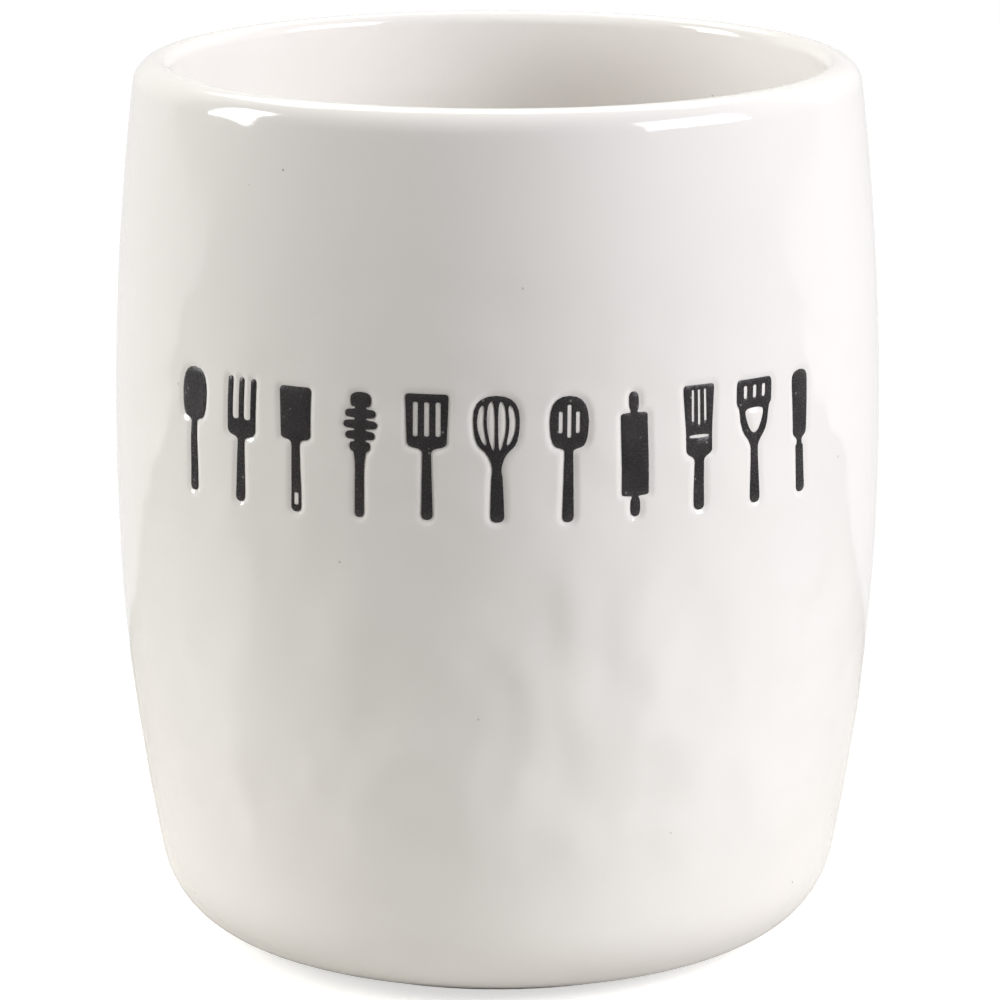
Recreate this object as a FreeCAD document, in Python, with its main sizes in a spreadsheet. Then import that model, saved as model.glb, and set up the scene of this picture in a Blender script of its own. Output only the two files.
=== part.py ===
"""Stoneware utensil holder: a barrel-shaped crock with a round lip, glazed all over but for its foot ring.

The origin is the centre of the circle that the crock stands on, +Z is up and sizes are in millimetres.
Three pieces of one fired vessel: the clay body, the glaze coat over it and the glaze inside the foot ring.
"""

import FreeCAD, Part

import math
import os

import Sketcher
from FreeCAD import Vector

doc = FreeCAD.newDocument("utensil_holder")

# Driving dimensions. Heights are above the table, and sizes of the outside include the glaze.
DRIVING_SIZES = {
    "height": 163.0,
    "belly_diameter": 140.0,
    "belly_height": 94.0,
    "shoulder_radius": 545.0,
    "flank_radius": 404.0,
    "heel_radius": 18.0,
    "wall_thickness": 6.3,
    "lip_outer_radius": 4.5,
    "floor_thickness": 7.0,
    "well_corner_radius": 12.0,
    "foot_height": 1.5,
    "foot_width": 6.0,
    "foot_inset": 0.8,
    "foot_edge_radius": 0.6,
    "recess_depth": 2.6,
    "glaze_thickness": 0.6,
}

sheet = doc.addObject("Spreadsheet::Sheet", "sizes")
for row, (alias, number) in enumerate(DRIVING_SIZES.items(), start=1):
    sheet.set(f"A{row}", alias)
    sheet.set(f"B{row}", str(number))
    sheet.setAlias(f"B{row}", alias)
doc.recompute()

START, END, CENTRE = range(1, 4)
ORIGIN = (-1, 1)
X_AXIS, Z_AXIS = range(-1, -3, -1)

BELLY_RADIUS = "sizes.belly_diameter / 2"
FLOOR_HEIGHT = "(sizes.foot_height + sizes.floor_thickness)"

# Where the round heel meets the flat underside: the heel arc lies inside the flank arc and touches it.
UNDERSIDE_RADIUS = (
    "(sizes.belly_diameter / 2 - sizes.flank_radius + sqrt((sizes.flank_radius - sizes.heel_radius)^2"
    " - (sizes.belly_height - sizes.foot_height - sizes.heel_radius)^2))"
)


def new_body(label):
    body = doc.addObject("PartDesign::Body", label)
    body.Label = label
    return body


def new_sketch(body, name, plane_role):
    """A sketch on one of the body's own origin planes."""
    sketch = body.newObject("Sketcher::SketchObject", name)
    plane = next(item for item in body.Origin.OriginFeatures if item.Role == plane_role)
    sketch.AttachmentSupport = (plane, [""])
    sketch.MapMode = "FlatFace"
    return sketch


def measure(sketch, kind, places, expression):
    """Add a dimension whose value follows the sheet."""
    start_value = float(sketch.evalExpression(expression))
    index = sketch.addConstraint(Sketcher.Constraint(kind, *places, start_value))
    sketch.setExpression(f"Constraints[{index}]", expression)


def relate(sketch, kind, *places):
    """Add a geometric relation, such as a tangent joint between two ends."""
    sketch.addConstraint(Sketcher.Constraint(kind, *places))


def add_line(sketch, start, end):
    return sketch.addGeometry(Part.LineSegment(start, end), False)


def add_arc(sketch, centre, radius, first_angle, last_angle):
    circle = Part.Circle(centre, Vector(0, 0, 1), radius)
    return sketch.addGeometry(Part.ArcOfCircle(circle, first_angle, last_angle), False)


def touching_centre(main_centre, reach, height):
    """The point outside the axis that lies at this height and this far from the main arc's centre."""
    rise = height - main_centre.y
    return Vector(main_centre.x + math.sqrt(reach**2 - rise**2), height, 0)


def angle_from(main_centre, point):
    return math.atan2(point.y - main_centre.y, point.x - main_centre.x)


def draw_glazed_line(sketch, depth):
    """Draw the section line that lies `depth` under the glazed surface, and return its two open ends.

    It runs from the middle of the floor up the inside, over the lip and down the outside to the foot ring.
    """
    skin = float(sketch.evalExpression(depth))
    belly_radius = sheet.belly_diameter / 2
    floor_height = sheet.foot_height + sheet.floor_thickness
    flank_centre = Vector(belly_radius - sheet.flank_radius, sheet.belly_height, 0)
    shoulder_centre = Vector(belly_radius - sheet.shoulder_radius, sheet.belly_height, 0)

    corner_reach = sheet.flank_radius - sheet.wall_thickness - sheet.well_corner_radius
    corner_height = floor_height + sheet.well_corner_radius
    corner_centre = touching_centre(flank_centre, corner_reach, corner_height)
    corner_angle = angle_from(flank_centre, corner_centre)

    lip_reach = sheet.shoulder_radius - sheet.lip_outer_radius
    lip_centre = touching_centre(shoulder_centre, lip_reach, sheet.height - sheet.lip_outer_radius)
    lip_angle = angle_from(shoulder_centre, lip_centre)

    # The inner lip arc starts at the same top point and touches the inner wall from outside.
    lip_across = lip_centre.x - shoulder_centre.x
    lip_rise = sheet.height - sheet.belly_height
    inner_reach = sheet.shoulder_radius - sheet.wall_thickness
    inner_lip_radius = (lip_across**2 + lip_rise**2 - inner_reach**2) / (2 * (lip_rise + inner_reach))
    inner_lip_centre = Vector(lip_centre.x, sheet.height - inner_lip_radius, 0)
    inner_lip_angle = angle_from(shoulder_centre, inner_lip_centre)

    heel_reach = sheet.flank_radius - sheet.heel_radius
    heel_centre = touching_centre(flank_centre, heel_reach, sheet.foot_height + sheet.heel_radius)
    heel_angle = angle_from(flank_centre, heel_centre)

    straight_up = math.pi / 2
    straight_down = -straight_up
    floor_level = floor_height - skin
    underside_level = sheet.foot_height + skin
    inner_flank_radius = sheet.flank_radius - sheet.wall_thickness + skin
    inner_shoulder_radius = sheet.shoulder_radius - sheet.wall_thickness + skin

    floor = add_line(sketch, Vector(0, floor_level, 0), Vector(corner_centre.x, floor_level, 0))
    corner = add_arc(sketch, corner_centre, sheet.well_corner_radius + skin, straight_down, corner_angle)
    inner_flank = add_arc(sketch, flank_centre, inner_flank_radius, corner_angle, 0)
    inner_shoulder = add_arc(sketch, shoulder_centre, inner_shoulder_radius, 0, inner_lip_angle)
    inner_lip_end = inner_lip_angle + math.pi
    inner_lip = add_arc(sketch, inner_lip_centre, inner_lip_radius - skin, straight_up, inner_lip_end)
    lip = add_arc(sketch, lip_centre, sheet.lip_outer_radius - skin, lip_angle, straight_up)
    shoulder = add_arc(sketch, shoulder_centre, sheet.shoulder_radius - skin, 0, lip_angle)
    flank = add_arc(sketch, flank_centre, sheet.flank_radius - skin, heel_angle, 0)
    heel = add_arc(sketch, heel_centre, sheet.heel_radius - skin, straight_down, heel_angle)
    underside_start = Vector(heel_centre.x, underside_level, 0)
    underside_end = Vector(heel_centre.x - sheet.foot_inset, underside_level, 0)
    underside = add_line(sketch, underside_start, underside_end)

    # Outside of the barrel: flank and shoulder meet at the belly, where the wall stands upright.
    measure(sketch, "DistanceX", (*ORIGIN, flank, END), f"{BELLY_RADIUS} - {depth}")
    measure(sketch, "DistanceY", (*ORIGIN, flank, END), "sizes.belly_height")
    relate(sketch, "Horizontal", flank, CENTRE, flank, END)
    measure(sketch, "Radius", (flank,), f"sizes.flank_radius - {depth}")
    relate(sketch, "Coincident", shoulder, START, flank, END)
    relate(sketch, "Horizontal", shoulder, CENTRE, shoulder, START)
    measure(sketch, "Radius", (shoulder,), f"sizes.shoulder_radius - {depth}")

    # Inside of the barrel, parallel to the outside.
    relate(sketch, "Coincident", inner_flank, CENTRE, flank, CENTRE)
    measure(sketch, "Radius", (inner_flank,), f"sizes.flank_radius - sizes.wall_thickness + {depth}")
    relate(sketch, "Coincident", inner_shoulder, CENTRE, shoulder, CENTRE)
    relate(sketch, "Coincident", inner_shoulder, START, inner_flank, END)
    relate(sketch, "Horizontal", inner_shoulder, CENTRE, inner_shoulder, START)

    # The lip is rounded off widely on the outside, and more tightly from its top into the well.
    relate(sketch, "Tangent", lip, START, shoulder, END)
    measure(sketch, "Radius", (lip,), f"sizes.lip_outer_radius - {depth}")
    measure(sketch, "DistanceY", (*ORIGIN, lip, CENTRE), "sizes.height - sizes.lip_outer_radius")
    relate(sketch, "Vertical", lip, CENTRE, lip, END)
    relate(sketch, "Tangent", inner_lip, START, lip, END)
    relate(sketch, "Tangent", inner_lip, END, inner_shoulder, END)

    # The heel turns the flank under to the flat that borders the foot ring.
    relate(sketch, "Tangent", heel, END, flank, START)
    measure(sketch, "DistanceY", (*ORIGIN, heel, CENTRE), "sizes.foot_height + sizes.heel_radius")
    measure(sketch, "Radius", (heel,), f"sizes.heel_radius - {depth}")
    relate(sketch, "Tangent", heel, START, underside, START)
    relate(sketch, "Horizontal", underside)
    measure(sketch, "DistanceX", (underside, END, underside, START), "sizes.foot_inset")

    # The well's round corner runs into its flat floor.
    relate(sketch, "Tangent", corner, END, inner_flank, START)
    measure(sketch, "DistanceY", (*ORIGIN, corner, CENTRE), f"{FLOOR_HEIGHT} + sizes.well_corner_radius")
    measure(sketch, "Radius", (corner,), f"sizes.well_corner_radius + {depth}")
    relate(sketch, "Tangent", corner, START, floor, END)
    relate(sketch, "Horizontal", floor)
    relate(sketch, "PointOnObject", floor, START, Z_AXIS)
    return (floor, START), (underside, END)


def end_point(sketch, end):
    return sketch.getPoint(*end)


def join_ends(sketch, first, second):
    """Close a section with a straight line between two open ends."""
    line = add_line(sketch, end_point(sketch, first), end_point(sketch, second))
    relate(sketch, "Coincident", line, START, *first)
    relate(sketch, "Coincident", line, END, *second)
    return line


def revolve(body, sketch, name):
    turned = body.newObject("PartDesign::Revolution", name)
    turned.Profile = sketch
    turned.ReferenceAxis = (sketch, ["V_Axis"])
    turned.Angle = 360
    return turned


def make_clay_body():
    """The fired clay: wall, lip, floor and the bare foot ring, turned as one section."""
    body = new_body("clay_body")
    sketch = new_sketch(body, "wall_section", "XZ_Plane")
    floor_end, underside_end = draw_glazed_line(sketch, "sizes.glaze_thickness")

    corner = end_point(sketch, underside_end)
    inner_radius = corner.x - sheet.foot_width
    recess_level = sheet.recess_depth + sheet.glaze_thickness
    outer_side = add_line(sketch, corner, Vector(corner.x, 0, 0))
    resting_face = add_line(sketch, Vector(corner.x, 0, 0), Vector(inner_radius, 0, 0))
    inner_side = add_line(sketch, Vector(inner_radius, 0, 0), Vector(inner_radius, recess_level, 0))
    recess = add_line(sketch, Vector(inner_radius, recess_level, 0), Vector(0, recess_level, 0))

    relate(sketch, "Coincident", outer_side, START, *underside_end)
    relate(sketch, "Vertical", outer_side)
    relate(sketch, "PointOnObject", outer_side, END, X_AXIS)
    relate(sketch, "Coincident", resting_face, START, outer_side, END)
    relate(sketch, "Horizontal", resting_face)
    measure(sketch, "DistanceX", (resting_face, END, resting_face, START), "sizes.foot_width")
    relate(sketch, "Coincident", inner_side, START, resting_face, END)
    relate(sketch, "Vertical", inner_side)
    measure(sketch, "DistanceY", (*ORIGIN, inner_side, END), "sizes.recess_depth + sizes.glaze_thickness")
    relate(sketch, "Coincident", recess, START, inner_side, END)
    relate(sketch, "Horizontal", recess)
    relate(sketch, "PointOnObject", recess, END, Z_AXIS)
    join_ends(sketch, (recess, END), floor_end)

    wall = revolve(body, sketch, "turned_wall")
    doc.recompute()

    # The two edges of the resting face are rubbed round, so that the ring doesn't scratch the table.
    resting_edges = [
        f"Edge{number}"
        for number, edge in enumerate(wall.Shape.Edges, start=1)
        if edge.BoundBox.ZMax < sheet.foot_edge_radius / 2
    ]
    rounding = body.newObject("PartDesign::Fillet", "rubbed_foot_edges")
    rounding.Base = (wall, resting_edges)
    rounding.setExpression("Radius", "sizes.foot_edge_radius")
    return body


def make_glaze_coat():
    """The glaze over the outside, the lip and the inside, from the foot ring to the middle of the floor."""
    body = new_body("glaze_coat")
    sketch = new_sketch(body, "coat_section", "XZ_Plane")
    outer_floor, outer_foot = draw_glazed_line(sketch, "0")
    inner_floor, inner_foot = draw_glazed_line(sketch, "sizes.glaze_thickness")
    join_ends(sketch, outer_floor, inner_floor)
    join_ends(sketch, outer_foot, inner_foot)
    revolve(body, sketch, "fired_coat")
    return body


def make_underside_glaze():
    """The glaze that fills the hollow inside the foot ring, up to the ring's inner side."""
    body = new_body("underside_glaze")
    sketch = new_sketch(body, "hollow_outline", "XY_Plane")
    sketch.setExpression("AttachmentOffset.Base.z", "sizes.recess_depth")
    radius = f"{UNDERSIDE_RADIUS} - sizes.foot_inset - sizes.foot_width"
    start_circle = Part.Circle(Vector(), Vector(0, 0, 1), float(sketch.evalExpression(radius)))
    outline = sketch.addGeometry(start_circle, False)
    relate(sketch, "Coincident", outline, CENTRE, *ORIGIN)
    measure(sketch, "Radius", (outline,), radius)
    patch = body.newObject("PartDesign::Pad", "fired_patch")
    patch.Profile = sketch
    patch.setExpression("Length", "sizes.glaze_thickness")
    return body


bodies = [make_clay_body(), make_glaze_coat(), make_underside_glaze()]
doc.recompute()

for item in doc.Objects:
    if "Invalid" in item.State or "Error" in item.State:
        raise RuntimeError(f"{item.Label} did not build: {item.State}")
for body in bodies:
    if body.Shape.isNull() or not body.Shape.isValid() or len(body.Shape.Solids) != 1:
        raise RuntimeError(f"{body.Label} is not one valid solid")

os.makedirs("parts", exist_ok=True)
for body in bodies:
    body.Shape.exportStep(f"parts/{body.Label}.step")
    box = body.Shape.BoundBox
    print(f"{body.Label}: {body.Shape.Volume / 1000:.1f} cm3, z {box.ZMin:.2f} to {box.ZMax:.2f} mm")
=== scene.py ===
"""White stoneware utensil holder: the clay, its glaze and the stamped marks, standing on a white table.

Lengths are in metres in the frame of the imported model: +Z is up, the origin is under the middle of the
foot ring, and the marks are on the -Y side.
"""

import math

import bpy
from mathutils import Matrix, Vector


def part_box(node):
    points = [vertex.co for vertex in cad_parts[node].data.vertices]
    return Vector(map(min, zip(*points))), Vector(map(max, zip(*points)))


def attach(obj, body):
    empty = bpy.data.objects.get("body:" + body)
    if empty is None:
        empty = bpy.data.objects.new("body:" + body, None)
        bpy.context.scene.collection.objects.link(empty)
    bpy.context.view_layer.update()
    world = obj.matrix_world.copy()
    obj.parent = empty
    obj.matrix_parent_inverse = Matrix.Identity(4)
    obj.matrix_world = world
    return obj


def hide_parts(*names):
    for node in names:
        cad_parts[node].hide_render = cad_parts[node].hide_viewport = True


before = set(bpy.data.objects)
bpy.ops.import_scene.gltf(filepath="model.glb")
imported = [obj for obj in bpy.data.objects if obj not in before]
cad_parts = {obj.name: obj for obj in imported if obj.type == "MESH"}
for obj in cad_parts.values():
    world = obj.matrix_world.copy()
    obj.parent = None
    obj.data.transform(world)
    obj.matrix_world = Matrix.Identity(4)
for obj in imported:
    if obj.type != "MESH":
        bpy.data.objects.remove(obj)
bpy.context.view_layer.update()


# Clay body. The vessel is turned from buff stoneware clay and fired before it is glazed. Its foot ring is
# wiped clean so that it doesn't stick to the kiln shelf, and only there does the bare, gritty clay show.

CLAY_BUFF = (0.62, 0.53, 0.43, 1)
CLAY_BROWN = (0.44, 0.35, 0.26, 1)
CLAY_IRON = (0.11, 0.07, 0.045, 1)
CLAY_ROUGHNESS = (0.78, 0.95)
CLAY_RELIEF = 0.0002


def add_node(tree, kind, **values):
    """Add a shader node and set its inputs by name, with an underscore for a space."""
    node = tree.nodes.new(kind)
    for name, value in values.items():
        node.inputs[name.replace("_", " ")].default_value = value
    return node


def mix_colours(tree, share, first, second):
    """Mix two colours, each a value or a socket, by a socket from 0 to 1."""
    mix = tree.nodes.new("ShaderNodeMix")
    mix.data_type = "RGBA"
    tree.links.new(share, mix.inputs["Factor"])
    for name, colour in (("A", first), ("B", second)):
        socket = [s for s in mix.inputs if s.name == name and s.type == "RGBA"][0]
        if isinstance(colour, tuple):
            socket.default_value = colour
        else:
            tree.links.new(colour, socket)
    return [s for s in mix.outputs if s.type == "RGBA"][0]


def stretch(tree, value, low, high, to_low, to_high):
    """Map a value from one range to another, and hold it there."""
    ramp = add_node(tree, "ShaderNodeMapRange", From_Min=low, From_Max=high, To_Min=to_low, To_Max=to_high)
    tree.links.new(value, ramp.inputs["Value"])
    return ramp.outputs["Result"]


def new_finish(name, **values):
    """A material whose even values are set on its Principled BSDF."""
    finish = bpy.data.materials.new(name)
    finish.use_nodes = True
    shader = finish.node_tree.nodes["Principled BSDF"]
    for socket, value in values.items():
        shader.inputs[socket.replace("_", " ")].default_value = value
    return finish, finish.node_tree, shader


def make_firing_marks():
    """What the kiln leaves in a ceramic surface: cloudy patches, fine grain and scattered round specks."""
    group = bpy.data.node_groups.new("firing_marks", "ShaderNodeTree")
    for name in ("Patches", "Grain", "Specks"):
        group.interface.new_socket(name, in_out="OUTPUT", socket_type="NodeSocketFloat")
    for name in ("Patch Scale", "Grain Scale", "Speck Scale", "Speck Size"):
        group.interface.new_socket(name, in_out="INPUT", socket_type="NodeSocketFloat")
    sizes = group.nodes.new("NodeGroupInput")
    marks = group.nodes.new("NodeGroupOutput")
    place = group.nodes.new("ShaderNodeTexCoord")
    patches = add_node(group, "ShaderNodeTexNoise", Detail=2.0)
    grain = add_node(group, "ShaderNodeTexNoise", Detail=4.0, Roughness=0.6)
    specks = group.nodes.new("ShaderNodeTexVoronoi")
    for texture, size in ((patches, "Patch Scale"), (grain, "Grain Scale"), (specks, "Speck Scale")):
        group.links.new(place.outputs["Object"], texture.inputs["Vector"])
        group.links.new(sizes.outputs[size], texture.inputs["Scale"])
    dots = add_node(group, "ShaderNodeMapRange", To_Min=1.0, To_Max=0.0)
    group.links.new(specks.outputs["Distance"], dots.inputs["Value"])
    group.links.new(sizes.outputs["Speck Size"], dots.inputs["From Max"])
    group.links.new(patches.outputs["Fac"], marks.inputs["Patches"])
    group.links.new(grain.outputs["Fac"], marks.inputs["Grain"])
    group.links.new(dots.outputs["Result"], marks.inputs["Specks"])
    return group


firing_marks = make_firing_marks()


def add_firing_marks(tree, **sizes):
    """Place the firing marks in a material, with its own sizes."""
    marks = tree.nodes.new("ShaderNodeGroup")
    marks.node_tree = firing_marks
    for name, value in sizes.items():
        marks.inputs[name.replace("_", " ")].default_value = value
    return marks.outputs


def add_relief(tree, shader, height, depth):
    """Raise or sink the surface by a height socket, at most by a depth in metres."""
    bump = add_node(tree, "ShaderNodeBump", Strength=1.0, Distance=depth)
    tree.links.new(height, bump.inputs["Height"])
    tree.links.new(bump.outputs["Normal"], shader.inputs["Normal"])


bare_clay, tree, shader = new_finish("bare_clay", IOR=1.5)
marks = add_firing_marks(tree, Patch_Scale=60, Grain_Scale=2200, Speck_Scale=420, Speck_Size=0.3)
tone = mix_colours(tree, stretch(tree, marks["Grain"], 0.3, 0.75, 0.0, 1.0), CLAY_BUFF, CLAY_BROWN)
tone = mix_colours(tree, marks["Specks"], tone, CLAY_IRON)
tree.links.new(tone, shader.inputs["Base Color"])
tree.links.new(stretch(tree, marks["Patches"], 0.3, 0.7, *CLAY_ROUGHNESS), shader.inputs["Roughness"])
add_relief(tree, shader, marks["Grain"], CLAY_RELIEF)
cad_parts["clay_body"].material_slots[0].material = bare_clay


# Glaze coat. The fired vessel is dipped in a warm white gloss glaze, which covers the inside, the rounded
# lip and the outside down to the underside, where it ends in a small bead beside the wiped foot ring. The
# clay's soft hand-made dents show through it below the shoulder, and less among the marks and on the sides.

BELLY_RADIUS = 0.070
BELLY_HEIGHT = 0.094
SHOULDER_RADIUS = 0.545
FLANK_RADIUS = 0.404
HEEL_RADIUS = 0.018
WALL = 0.0063
LIP_OUTER_RADIUS = 0.0045
WELL_FLOOR = 0.0085
WELL_CORNER_RADIUS = 0.012
FOOT_HEIGHT = 0.0015
FOOT_OUTER_RADIUS = 0.04394
CROCK_HEIGHT = 0.163
GLAZE_THICKNESS = 0.0006
BEAD_RADIUS = GLAZE_THICKNESS / 2
FRONT_SWEEP = math.radians(114)
FRONT_STEPS = 278
SIDE_STEPS = 14
BACK_STEPS = 86
MARKED_LOW = 0.0895
MARKED_HIGH = 0.1175
DENT_SIZE = 0.015
DENT_DEPTH = 0.0019
DENT_MIDDLE = 0.5
DENTS_LOW_END = 0.017
DENTS_LOW_FULL = 0.034
DENTS_HIGH_FULL = 0.118
DENTS_HIGH_END = 0.143
MARKED_CALM = 0.5
MARKED_CALM_START = 0.074
MARKED_CALM_FULL = 0.086
SIDE_CALM = 0.75
SIDE_CALM_START = 0.85
SIDE_CALM_FULL = 0.97
SWAY_SIZE = 0.07
SWAY_DEPTH = 0.0009
SWAY_MIDDLE = 0.27
GLAZE_WHITE = (0.9, 0.875, 0.845, 1)
GLAZE_CREAM = (0.875, 0.845, 0.805, 1)
GLAZE_PINHOLE = (0.30, 0.26, 0.22, 1)
GLAZE_ROUGHNESS = (0.05, 0.10)
GLAZE_RELIEF = 0.00005
JOIN_DISTANCE = 0.000002


def start_line(name, radius, height):
    """Start a piece as one point of its section, at a radius on +X and a height."""
    if bpy.context.mode != "OBJECT":
        bpy.ops.object.mode_set(mode="OBJECT")
    bpy.ops.object.select_all(action="DESELECT")
    bpy.ops.mesh.primitive_plane_add(size=0.001)
    piece = bpy.context.object
    piece.name = name
    piece.data.name = name
    bpy.ops.object.mode_set(mode="EDIT")
    bpy.ops.mesh.select_mode(type="VERT")
    bpy.ops.mesh.merge(type="CENTER")
    bpy.ops.transform.translate(value=(radius, 0, height))
    return piece


def draw_line(across, up, steps):
    """Extrude the last point of the section along a straight line."""
    for _ in range(steps):
        move = {"value": (across / steps, 0, up / steps)}
        bpy.ops.mesh.extrude_vertices_move(TRANSFORM_OT_translate=move)


def draw_arc(centre, first, last, steps):
    """Spin the last point of the section round a centre, from one angle above +X to another."""
    axis = (0, 1, 0) if last > first else (0, -1, 0)
    place = (centre[0], 0, centre[1])
    bpy.ops.mesh.spin(steps=steps, angle=abs(last - first), center=place, axis=axis)


def turn_section(*sweeps):
    """Spin the section once round the crock's axis, in sweeps of an angle and its steps, and close it."""
    bpy.ops.mesh.select_all(action="SELECT")
    for angle, steps in sweeps:
        bpy.ops.mesh.spin(steps=steps, angle=angle, center=(0, 0, 0), axis=(0, 0, 1))
    bpy.ops.mesh.select_all(action="SELECT")
    bpy.ops.mesh.remove_doubles(threshold=JOIN_DISTANCE)
    bpy.ops.mesh.normals_make_consistent(inside=False)
    bpy.ops.object.mode_set(mode="OBJECT")
    bpy.ops.object.shade_smooth()


def arc_angle(height, centre_height, radius):
    """The angle above +X at which an arc passes a height."""
    return math.asin((height - centre_height) / radius)


shoulder_centre = (BELLY_RADIUS - SHOULDER_RADIUS, BELLY_HEIGHT)
flank_centre = (BELLY_RADIUS - FLANK_RADIUS, BELLY_HEIGHT)
lip_reach = SHOULDER_RADIUS - LIP_OUTER_RADIUS
lip_angle = arc_angle(CROCK_HEIGHT - LIP_OUTER_RADIUS, BELLY_HEIGHT, lip_reach)
lip_top = lip_reach * math.cos(lip_angle)
lip_centre = (shoulder_centre[0] + lip_top, CROCK_HEIGHT - LIP_OUTER_RADIUS)
rise = CROCK_HEIGHT - BELLY_HEIGHT
inner_wall = SHOULDER_RADIUS - WALL
inner_lip_radius = (lip_top ** 2 + rise ** 2 - inner_wall ** 2) / (2 * (rise + inner_wall))
inner_lip_centre = (lip_centre[0], CROCK_HEIGHT - inner_lip_radius)
inner_lip_angle = arc_angle(inner_lip_centre[1], BELLY_HEIGHT, inner_wall + inner_lip_radius)
heel_reach = FLANK_RADIUS - HEEL_RADIUS
heel_angle = arc_angle(FOOT_HEIGHT + HEEL_RADIUS, BELLY_HEIGHT, heel_reach)
heel_centre = (flank_centre[0] + heel_reach * math.cos(heel_angle), FOOT_HEIGHT + HEEL_RADIUS)
corner_reach = FLANK_RADIUS - WALL - WELL_CORNER_RADIUS
corner_angle = arc_angle(WELL_FLOOR + WELL_CORNER_RADIUS, BELLY_HEIGHT, corner_reach)
corner_centre = (flank_centre[0] + corner_reach * math.cos(corner_angle), WELL_FLOOR + WELL_CORNER_RADIUS)
marked_top = arc_angle(MARKED_HIGH, BELLY_HEIGHT, SHOULDER_RADIUS)
marked_base = arc_angle(MARKED_LOW, BELLY_HEIGHT, FLANK_RADIUS)
straight_up = math.pi / 2
straight_down = -straight_up
bead_end = FOOT_OUTER_RADIUS + BEAD_RADIUS

glaze_skin = start_line("glaze_skin", 0, WELL_FLOOR)
draw_line(corner_centre[0], 0, steps=8)
draw_arc(corner_centre, straight_down, corner_angle, steps=7)
draw_arc(flank_centre, corner_angle, 0, steps=16)
draw_arc(shoulder_centre, 0, inner_lip_angle, steps=14)
draw_arc(inner_lip_centre, inner_lip_angle + math.pi, straight_up, steps=8)
draw_arc(lip_centre, straight_up, lip_angle, steps=10)
draw_arc(shoulder_centre, lip_angle, marked_top, steps=20)
draw_arc(shoulder_centre, marked_top, 0, steps=47)
draw_arc(flank_centre, 0, marked_base, steps=9)
draw_arc(flank_centre, marked_base, heel_angle, steps=33)
draw_arc(heel_centre, heel_angle, straight_down, steps=12)
draw_line(bead_end - heel_centre[0], 0, steps=1)
draw_arc((bead_end, FOOT_HEIGHT + BEAD_RADIUS), straight_down, straight_down - math.pi, steps=4)
draw_line(heel_centre[0] - bead_end, 0, steps=1)
draw_arc(heel_centre, straight_down, heel_angle, steps=5)
draw_arc(flank_centre, heel_angle, 0, steps=8)
draw_arc(shoulder_centre, 0, lip_angle, steps=6)
draw_arc(lip_centre, lip_angle, straight_up, steps=4)
draw_arc(inner_lip_centre, straight_up, inner_lip_angle + math.pi, steps=4)
draw_arc(shoulder_centre, inner_lip_angle, 0, steps=6)
draw_arc(flank_centre, 0, corner_angle, steps=6)
draw_arc(corner_centre, corner_angle, straight_down, steps=4)
draw_line(-corner_centre[0], 0, steps=3)
side_sweep = (math.pi - FRONT_SWEEP) / 2
turn_section((side_sweep, SIDE_STEPS), (FRONT_SWEEP, FRONT_STEPS), (side_sweep + math.pi, BACK_STEPS))


def outer_radius(height):
    """The radius of the outside wall at a height, before the dents."""
    radius, centre = FLANK_RADIUS, flank_centre
    if height > BELLY_HEIGHT:
        radius, centre = SHOULDER_RADIUS, shoulder_centre
    return centre[0] + math.sqrt(radius ** 2 - (height - BELLY_HEIGHT) ** 2)


def ease(value, low, high):
    """Rise smoothly from 0 at one value to 1 at another."""
    share = min(max((value - low) / (high - low), 0), 1)
    return share * share * (3 - 2 * share)


def apply_modifier(piece, kind, **settings):
    """Add a modifier, set it and apply it."""
    bpy.ops.object.select_all(action="DESELECT")
    piece.select_set(True)
    bpy.context.view_layer.objects.active = piece
    modifier = piece.modifiers.new(kind.lower(), kind)
    for name, value in settings.items():
        setattr(modifier, name, value)
    bpy.ops.object.modifier_apply(modifier=modifier.name)


def press_clouds(piece, name, size, depth, middle, group):
    """Push a wall in and out by soft clouds of a size, whose middle shade leaves it where it is."""
    clouds = bpy.data.textures.new(name, "CLOUDS")
    clouds.noise_scale = size
    clouds.noise_depth = 1
    clouds.noise_basis = "IMPROVED_PERLIN"
    apply_modifier(piece, "DISPLACE", texture=clouds, texture_coords="LOCAL", strength=depth,
                   mid_level=middle, vertex_group=group)


outer_wall = glaze_skin.vertex_groups.new(name="outer_wall")
for point in glaze_skin.data.vertices:
    radius = math.hypot(point.co.x, point.co.y)
    height = point.co.z
    if DENTS_LOW_END < height < DENTS_HIGH_END and radius > outer_radius(height) - GLAZE_THICKNESS / 2:
        share = ease(height, DENTS_LOW_END, DENTS_LOW_FULL)
        share *= 1 - ease(height, DENTS_HIGH_FULL, DENTS_HIGH_END)
        share *= 1 - MARKED_CALM * ease(height, MARKED_CALM_START, MARKED_CALM_FULL)
        share *= 1 - SIDE_CALM * ease(abs(point.co.x) / radius, SIDE_CALM_START, SIDE_CALM_FULL)
        outer_wall.add([point.index], share, "REPLACE")
press_clouds(glaze_skin, "hand_dents", DENT_SIZE, DENT_DEPTH, DENT_MIDDLE, "outer_wall")
press_clouds(glaze_skin, "turning_sway", SWAY_SIZE, SWAY_DEPTH, SWAY_MIDDLE, "outer_wall")

white_glaze, tree, shader = new_finish("white_glaze", IOR=1.5)
marks = add_firing_marks(tree, Patch_Scale=24, Grain_Scale=150, Speck_Scale=95, Speck_Size=0.03)
tone = mix_colours(tree, stretch(tree, marks["Patches"], 0.35, 0.7, 0.0, 0.5), GLAZE_WHITE, GLAZE_CREAM)
tone = mix_colours(tree, marks["Specks"], tone, GLAZE_PINHOLE)
tree.links.new(tone, shader.inputs["Base Color"])
tree.links.new(stretch(tree, marks["Grain"], 0.3, 0.7, *GLAZE_ROUGHNESS), shader.inputs["Roughness"])
add_relief(tree, shader, marks["Grain"], GLAZE_RELIEF)
glaze_skin.data.materials.append(white_glaze)
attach(glaze_skin, "root")
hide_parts("glaze_coat")


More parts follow.
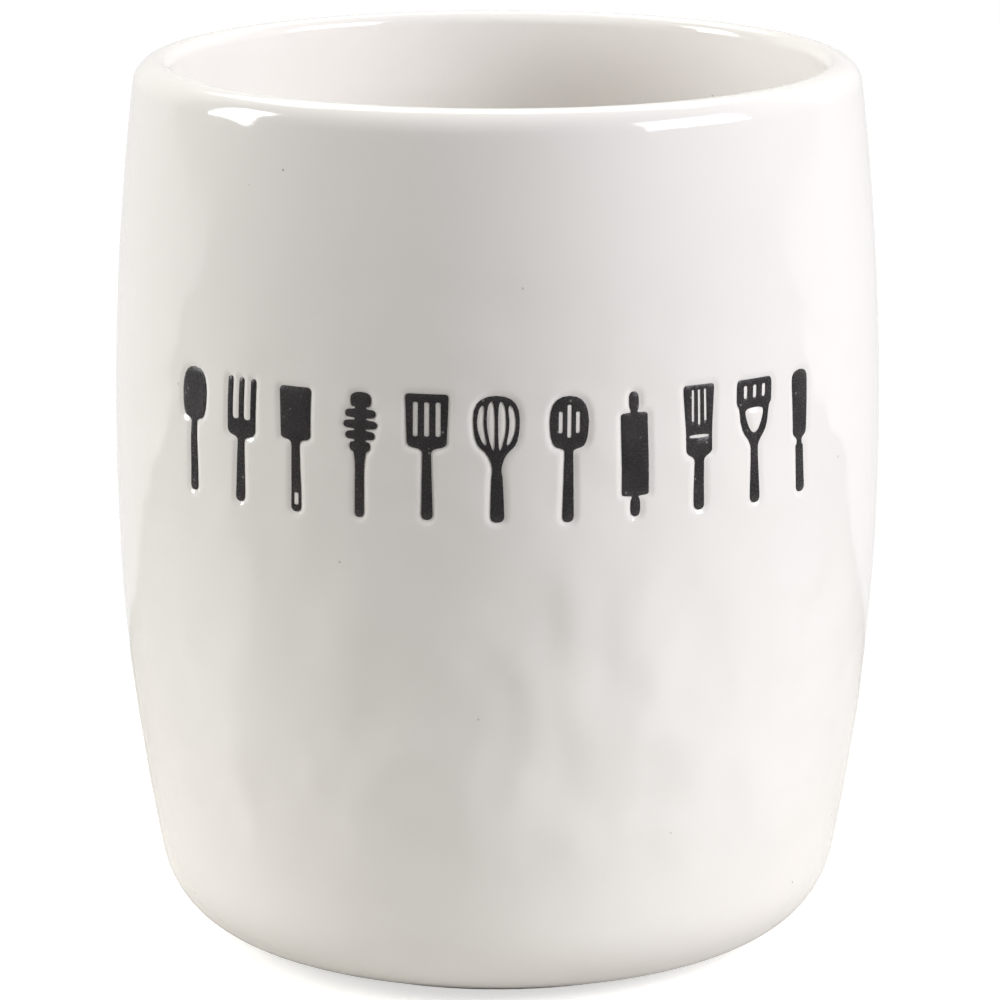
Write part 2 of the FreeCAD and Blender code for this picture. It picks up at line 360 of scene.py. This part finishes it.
# Underside glaze. A pool of the same glaze is left inside the foot ring after the ring is wiped. It lies
# flat on the clay and climbs a little way up the inside of the ring, as a wet glaze does.

POOL_LOW, POOL_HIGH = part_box("underside_glaze")
POOL_RADIUS = POOL_HIGH.x
POOL_CLIMB = 0.001
POOL_HOLLOW = 0.00012
POOL_STEPS = 120

foot_pool = start_line("foot_pool_glaze", 0, POOL_LOW.z + POOL_HOLLOW)
draw_line(POOL_RADIUS - POOL_CLIMB, -POOL_HOLLOW, steps=9)
draw_arc((POOL_RADIUS - POOL_CLIMB, POOL_LOW.z - POOL_CLIMB), straight_up, 0, steps=6)
draw_line(0, POOL_HIGH.z - POOL_LOW.z + POOL_CLIMB, steps=1)
draw_line(-POOL_RADIUS, 0, steps=5)
turn_section((2 * math.pi, POOL_STEPS))
foot_pool.data.materials.append(white_glaze)
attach(foot_pool, "root")
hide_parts("underside_glaze")


# Stamped marks. Simple signs of cooking tools are pressed one by one into the soft clay of the front, and
# rubbed with a dark ceramic stain that fills them almost to the surface when the glaze is fired.

MARK_HEIGHT = 0.0925
MARK_PITCH = 0.0122
MARK_DEPTH = 0.00034
MARK_EDGE = 0.001
MARK_TILT = math.radians(0.9)
MARK_LIFT = 0.0002
MARK_SET_OFF = 0.001
FILL_LOW = 0.00018
FILL_THICKNESS = 0.00022
FILL_ROUNDING = 0.00007
FILL_CORNER = math.radians(50)
FILL_SMOOTH = math.radians(40)
CUT_WIDTH = 0.0008
CUT_HEIGHT = 0.0016
CUTS_PER_SIDE = 5
CUTS_UP = 13
OUTLINE_JOIN = 0.00001
OUTLINE_SLIVER = 0.00003
HIDDEN_DEPTH = 0.9 * GLAZE_THICKNESS
STAIN_BLACK = (0.026, 0.024, 0.025, 1)
STAIN_GREY = (0.045, 0.041, 0.042, 1)
STAIN_GAP = (0.30, 0.29, 0.275, 1)
STAIN_ROUGHNESS = (0.16, 0.34)
STAIN_RELIEF = 0.00004


def slot_hole(middle, half_width, low, high):
    """The outline of an upright slot with round ends, in millimetres."""
    end = 1.6 * half_width
    right = [(middle + half_width, y) for y in (low, low + end, high - end, high)]
    left = [(middle - half_width, y) for y in (high, high - end, low + end, low)]
    return right + left


def mirrored(outline):
    """An outline's mirror image across the mark's middle line."""
    return [(-x, y) for x, y in reversed(outline)]


def draw_mark(name, right_side, holes):
    """Draw a mark flat from its right side's control points, in millimetres, and cut it into a fine grid."""
    drawing = bpy.data.curves.new(name, "CURVE")
    drawing.dimensions = "2D"
    drawing.fill_mode = "BOTH"
    for outline in [right_side + mirrored(right_side)] + holes:
        spline = drawing.splines.new("NURBS")
        spline.points.add(len(outline) - 1)
        for point, (x, y) in zip(spline.points, outline):
            point.co = (x / 1000, y / 1000, 0, 1)
        spline.use_cyclic_u = True
        spline.order_u = 3
        spline.resolution_u = 5
    mark = bpy.data.objects.new("stamp_" + name, drawing)
    bpy.context.scene.collection.objects.link(mark)
    bpy.ops.object.select_all(action="DESELECT")
    mark.select_set(True)
    bpy.context.view_layer.objects.active = mark
    bpy.ops.object.convert(target="MESH")
    mark = bpy.context.object
    bpy.ops.object.mode_set(mode="EDIT")
    bpy.ops.mesh.select_all(action="SELECT")
    bpy.ops.mesh.remove_doubles(threshold=OUTLINE_JOIN)
    bpy.ops.mesh.dissolve_limited(angle_limit=math.radians(1))
    for step in range(-CUTS_PER_SIDE, CUTS_PER_SIDE + 1):
        bpy.ops.mesh.select_all(action="SELECT")
        bpy.ops.mesh.bisect(plane_co=(step * CUT_WIDTH, 0, 0), plane_no=(1, 0, 0))
    for step in range(1, CUTS_UP + 1):
        bpy.ops.mesh.select_all(action="SELECT")
        bpy.ops.mesh.bisect(plane_co=(0, step * CUT_HEIGHT, 0), plane_no=(0, 1, 0))
    bpy.ops.mesh.select_all(action="SELECT")
    bpy.ops.mesh.dissolve_degenerate(threshold=OUTLINE_SLIVER)
    bpy.ops.object.mode_set(mode="OBJECT")
    return mark


handle = [(1.0, 0), (1.0, 2.2)]
ribs = [(0.8, 11.4)]
for low, width in ((11.8, 1.9), (13.7, 2.7), (15.6, 3.1), (17.5, 2.8)):
    ribs += [(width, low), (width, low + 1.4), (1.0, low + 1.5), (1.0, low + 1.9)]
whisk_gap = [(0.28, 12.0), (0.28, 21.4), (1.5, 20.8), (1.75, 16.6), (1.0, 13.2)]
whisk_side = [(1.5, 13.0), (2.35, 16.8), (1.95, 20.6), (2.9, 20.2), (3.5, 17.2), (2.7, 14.2)]
mark_drawings = {
    "wooden_spoon": (handle + [(0.75, 11.8), (0.75, 12.8), (3.3, 13.4), (3.3, 22.1)], []),
    "cooking_fork": (handle + [(0.75, 10.0), (0.75, 11.4), (3.2, 11.8), (3.2, 14.5), (3.2, 20.6), (3.2, 22),
                               (2.1, 22), (2.1, 20.6), (2.1, 15.6), (2.1, 14.6), (0.55, 14.6), (0.55, 15.6),
                               (0.55, 20.6), (0.55, 22)], []),
    "scraper": (handle + [(0.8, 10.4), (0.8, 12.6), (3.0, 12.8), (3.0, 14.2), (3.2, 20.4), (3.2, 22),
                          (1.6, 22)],
                [slot_hole(0, 0.5, 1.2, 3.4)]),
    "honey_dipper": ([(0.85, 0), (0.85, 2.0)] + ribs + [(1.9, 19.4), (1.9, 22)], []),
    "slotted_turner": (handle + [(0.75, 10.6), (0.75, 12.4), (3.5, 12.8), (3.5, 14.4), (3.8, 20.6), (3.8, 22),
                                 (2.4, 22)],
                       [slot_hole(-2.0, 0.45, 14.6, 20.6), slot_hole(0, 0.45, 14.6, 20.6),
                        slot_hole(2.0, 0.45, 14.6, 20.6)]),
    "balloon_whisk": ([(1.2, 0), (1.2, 2.2), (1.0, 7.8), (0.8, 8.6), (0.8, 9.8), (1.6, 12.0), (4.0, 14.0),
                       (4.0, 22.1)],
                      [whisk_gap, mirrored(whisk_gap), whisk_side, mirrored(whisk_side)]),
    "slotted_spoon": (handle + [(0.75, 11.8), (0.75, 12.8), (3.4, 13.4), (3.4, 22.1)],
                      [slot_hole(-1.5, 0.36, 15.6, 19.4), slot_hole(0, 0.36, 14.8, 20.6),
                       slot_hole(1.5, 0.36, 15.6, 19.4)]),
    "rolling_pin": ([(0.9, 0), (0.9, 2.8), (0.6, 3.3), (0.6, 3.7), (2.5, 3.7), (2.5, 4.7), (2.5, 17.3),
                     (2.5, 18.3), (0.6, 18.3), (0.6, 18.7), (0.9, 19.2), (0.9, 22)], []),
    "pastry_brush": (handle + [(0.9, 7.6), (0.9, 9.2), (2.6, 10.0), (2.6, 11.4), (2.6, 14.6), (3.1, 20.6),
                               (3.1, 22), (1.8, 22)],
                     [[(-2.1, 12.7), (2.1, 12.7), (2.1, 13.3), (-2.1, 13.3)],
                      slot_hole(-1.25, 0.28, 15.6, 21.2), slot_hole(0, 0.28, 15.0, 21.2),
                      slot_hole(1.25, 0.28, 15.6, 21.2)]),
    "potato_masher": ([(1.1, 0), (1.1, 2.2), (0.8, 8.4), (0.8, 10.6), (3.0, 13.0), (3.4, 17.0), (4.0, 17.6),
                       (4.0, 19.0), (4.0, 22), (2.4, 22)],
                      [[(-1.9, 16.9), (1.9, 16.9), (2.3, 15.8), (0.9, 12.4), (-0.9, 12.4), (-2.3, 15.8)],
                       slot_hole(-2.1, 0.42, 18.6, 20.9), slot_hole(0, 0.42, 18.6, 20.9),
                       slot_hole(2.1, 0.42, 18.6, 20.9)]),
    "palette_knife": ([(1.15, 0), (1.15, 2.2), (1.0, 7.6), (1.0, 8.4), (0.6, 8.6), (0.6, 9.6), (1.8, 10.4),
                       (1.8, 12.4), (2.1, 18.4), (2.1, 22)], []),
}

stain, tree, shader = new_finish("stamp_stain", IOR=1.5)
marks = add_firing_marks(tree, Patch_Scale=160, Grain_Scale=2600, Speck_Scale=420, Speck_Size=0.12)
tone = mix_colours(tree, stretch(tree, marks["Patches"], 0.35, 0.7, 0.0, 1.0), STAIN_BLACK, STAIN_GREY)
tone = mix_colours(tree, marks["Specks"], tone, STAIN_GAP)
tree.links.new(tone, shader.inputs["Base Color"])
tree.links.new(stretch(tree, marks["Grain"], 0.3, 0.7, *STAIN_ROUGHNESS), shader.inputs["Roughness"])
add_relief(tree, shader, marks["Grain"], STAIN_RELIEF)

stamps = []
for place, (name, (right_side, holes)) in enumerate(mark_drawings.items()):
    mark = draw_mark(name, right_side, holes)
    azimuth = (place - (len(mark_drawings) - 1) / 2) * MARK_PITCH / BELLY_RADIUS
    reach = BELLY_RADIUS + MARK_SET_OFF
    mark.rotation_euler = (math.pi / 2, MARK_TILT * math.sin(2.4 * place), azimuth)
    lift = MARK_LIFT * math.sin(1.7 * place + 1)
    mark.location = (reach * math.sin(azimuth), -reach * math.cos(azimuth), MARK_HEIGHT + lift)
    apply_modifier(mark, "SHRINKWRAP", target=glaze_skin, wrap_method="PROJECT", use_project_z=True,
                   use_negative_direction=True, use_positive_direction=False)
    stamps.append(mark)

bpy.ops.object.select_all(action="DESELECT")
for mark in stamps:
    mark.select_set(True)
bpy.context.view_layer.objects.active = stamps[0]
bpy.ops.object.duplicate()
bpy.ops.object.join()
stamp_tools = bpy.context.object

pressed = glaze_skin.vertex_groups.new(name="pressed")
for point in glaze_skin.data.vertices:
    radius = math.hypot(point.co.x, point.co.y)
    outside = radius > outer_radius(point.co.z) - HIDDEN_DEPTH
    if MARKED_LOW < point.co.z < MARKED_HIGH and point.co.y < 0 and outside:
        pressed.add([point.index], 1, "REPLACE")
apply_modifier(glaze_skin, "VERTEX_WEIGHT_PROXIMITY", vertex_group="pressed", target=stamp_tools,
               proximity_mode="GEOMETRY", proximity_geometry={"FACE"}, min_dist=MARK_EDGE, max_dist=0,
               falloff_type="SMOOTH")
apply_modifier(glaze_skin, "DISPLACE", direction="NORMAL", strength=-MARK_DEPTH, mid_level=0,
               vertex_group="pressed")
bpy.data.objects.remove(stamp_tools)

for mark in stamps:
    apply_modifier(mark, "DISPLACE", direction="Z", strength=-FILL_LOW, mid_level=0)
    apply_modifier(mark, "SOLIDIFY", thickness=FILL_THICKNESS, offset=-1)
    apply_modifier(mark, "BEVEL", width=FILL_ROUNDING, segments=2, limit_method="ANGLE",
                   angle_limit=FILL_CORNER)
    bpy.ops.object.transform_apply(location=True, rotation=True, scale=True)
    bpy.ops.object.shade_smooth_by_angle(angle=FILL_SMOOTH)
    mark.data.materials.clear()
    mark.data.materials.append(stain)
    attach(mark, "root")


# Table and backdrop. The crock stands on a matt table with a pool of light painted into its colour: white
# round the crock and painted shade further off. A wide grey sheet starts where the table ends behind the
# crock, and is drawn up well behind it. Both have a glow that only the camera and mirror images see, so that
# the picture's ground is white.

TABLE_WHITE = (0.74, 0.725, 0.69, 1)
# The table's dark colour further off is painted shade, outside a painted pool of light round the crock.
TABLE_PAINTED_SHADE = (0.05, 0.05, 0.05, 1)
TABLE_SIZE = 8
TABLE_PAINTED_POOL_START = 0.1
TABLE_PAINTED_POOL_END = 0.45
TABLE_GLOW = 0.6
TABLE_MIRROR_GLOW = 0.1
SHEET_GREY = (0.1, 0.1, 0.1, 1)
SHEET_GLOW = 0.95
SHEET_MIRROR_GLOW = 0.75
SHEET_LEFT = -2.7
SHEET_RIGHT = 2.9
SHEET_FRONT = 0.2
SHEET_BACK = 1.5
SHEET_HEIGHT = 3


def new_stage_white(name, colour, glow, mirror_glow):
    """Matt paint with a glow for the camera and one for mirror images, which doesn't light matt surfaces."""
    finish = bpy.data.materials.new(name)
    finish.use_nodes = True
    tree = finish.node_tree
    tree.nodes.remove(tree.nodes["Principled BSDF"])
    ray = tree.nodes.new("ShaderNodeLightPath")
    paint = add_node(tree, "ShaderNodeBsdfDiffuse", Color=colour)
    surface = paint.outputs["BSDF"]
    for sight, strength in (("Camera", glow), ("Glossy", mirror_glow), ("Transmission", mirror_glow)):
        level = tree.nodes.new("ShaderNodeMath")
        level.operation = "MULTIPLY"
        level.inputs[1].default_value = strength
        tree.links.new(ray.outputs["Is " + sight + " Ray"], level.inputs[0])
        shine = add_node(tree, "ShaderNodeEmission", Color=(1, 1, 1, 1))
        tree.links.new(level.outputs["Value"], shine.inputs["Strength"])
        both = tree.nodes.new("ShaderNodeAddShader")
        tree.links.new(surface, both.inputs[0])
        tree.links.new(shine.outputs["Emission"], both.inputs[1])
        surface = both.outputs["Shader"]
    tree.links.new(surface, tree.nodes["Material Output"].inputs["Surface"])
    return finish


def lay_panel(name, left, right, front, back, finish):
    """Lay a flat rectangle under the crock's foot, as part of the stage."""
    bpy.ops.object.select_all(action="DESELECT")
    bpy.ops.mesh.primitive_plane_add(size=1)
    panel = bpy.context.object
    panel.name = name
    panel.scale = (right - left, back - front, 1)
    panel.location = ((left + right) / 2, (front + back) / 2, 0)
    bpy.ops.object.transform_apply(location=True, rotation=True, scale=True)
    panel.data.materials.append(finish)
    return panel


table_painted_light_pool = new_stage_white("table_painted_light_pool", TABLE_WHITE, TABLE_GLOW, TABLE_MIRROR_GLOW)
tree = table_painted_light_pool.node_tree
# Painted pool of light: the table's colour fades from white near the crock to dark further off, by distance
# from its middle.
place = tree.nodes.new("ShaderNodeTexCoord")
distance = tree.nodes.new("ShaderNodeVectorMath")
distance.operation = "LENGTH"
tree.links.new(place.outputs["Object"], distance.inputs[0])
painted_pool_falloff = stretch(tree, distance.outputs["Value"], TABLE_PAINTED_POOL_START, TABLE_PAINTED_POOL_END, 0.0, 1.0)
tree.links.new(mix_colours(tree, painted_pool_falloff, TABLE_WHITE, TABLE_PAINTED_SHADE), tree.nodes["Diffuse BSDF"].inputs["Color"])
half = TABLE_SIZE / 2
lay_panel("white_table", -half, half, -half, SHEET_FRONT, table_painted_light_pool)

sheet_white = new_stage_white("sheet_white", SHEET_GREY, SHEET_GLOW, SHEET_MIRROR_GLOW)
sheet = lay_panel("white_sheet", SHEET_LEFT, SHEET_RIGHT, SHEET_FRONT, SHEET_BACK, sheet_white)
bpy.ops.object.mode_set(mode="EDIT")
bpy.ops.mesh.select_mode(type="VERT")
bpy.ops.mesh.select_all(action="DESELECT")
bpy.ops.object.mode_set(mode="OBJECT")
for point in sheet.data.vertices:
    point.select = point.co.y > (SHEET_FRONT + SHEET_BACK) / 2
bpy.ops.object.mode_set(mode="EDIT")
bpy.ops.mesh.extrude_edges_move(TRANSFORM_OT_translate={"value": (0, 0, SHEET_HEIGHT)})
bpy.ops.object.mode_set(mode="OBJECT")


# Light and camera. Two softboxes stand left and right of the crock, the right one larger and a little cooler.
# A third, a little warmer, hangs behind it and shines down into the mouth, in a grey room. The camera is a
# long lens a metre away, above the lip.

ROOM_GREY = (0.302, 0.3, 0.282, 1)
PLAIN_WHITE = (1, 1, 1)
COOL_WHITE = (1, 1, 1.06)
WARM_WHITE = (1.03, 1, 0.95)
CAMERA_PLACE = (0.00045, -0.9995, 0.30774)
CAMERA_DIP = 0.2235
CAMERA_LENS = 199.9
CAMERA_SENSOR = 36


def hang_softbox(name, azimuth, distance, height, width, tallness, dip, brightness, tint):
    """Hang a softbox that faces the crock's axis, at an azimuth from the camera to the right, in degrees."""
    lamp = bpy.data.lights.new(name, "AREA")
    lamp.shape = "RECTANGLE"
    lamp.size = width
    lamp.size_y = tallness
    lamp.energy = brightness * math.pi * width * tallness
    lamp.color = tint
    box = bpy.data.objects.new(name, lamp)
    bpy.context.scene.collection.objects.link(box)
    turn = math.radians(azimuth)
    box.location = (distance * math.sin(turn), -distance * math.cos(turn), height)
    box.rotation_euler = (math.pi / 2 - math.radians(dip), 0, turn)
    box.visible_camera = False


hang_softbox("left_softbox", azimuth=-89.1, distance=1.05, height=0.583, width=0.365, tallness=0.735,
             dip=0, brightness=11.8, tint=PLAIN_WHITE)
hang_softbox("right_softbox", azimuth=64.5, distance=1.05, height=0.623, width=0.713, tallness=0.655,
             dip=0, brightness=8.7, tint=COOL_WHITE)
hang_softbox("rear_softbox", azimuth=180, distance=0.8, height=1.25, width=1.4, tallness=0.7,
             dip=53.7, brightness=3.3, tint=WARM_WHITE)

room = bpy.data.worlds.new("grey_room")
room.use_nodes = True
room.node_tree.nodes["Background"].inputs["Color"].default_value = ROOM_GREY
bpy.context.scene.world = room

lens = bpy.data.cameras.new("camera")
lens.lens = CAMERA_LENS
lens.sensor_width = CAMERA_SENSOR
camera = bpy.data.objects.new("camera", lens)
bpy.context.scene.collection.objects.link(camera)
camera.location = CAMERA_PLACE
camera.rotation_euler = (math.pi / 2 - CAMERA_DIP, 0, 0)
bpy.context.scene.camera = camera
bpy.context.scene.view_settings.view_transform = "Standard"

bpy.context.view_layer.update()
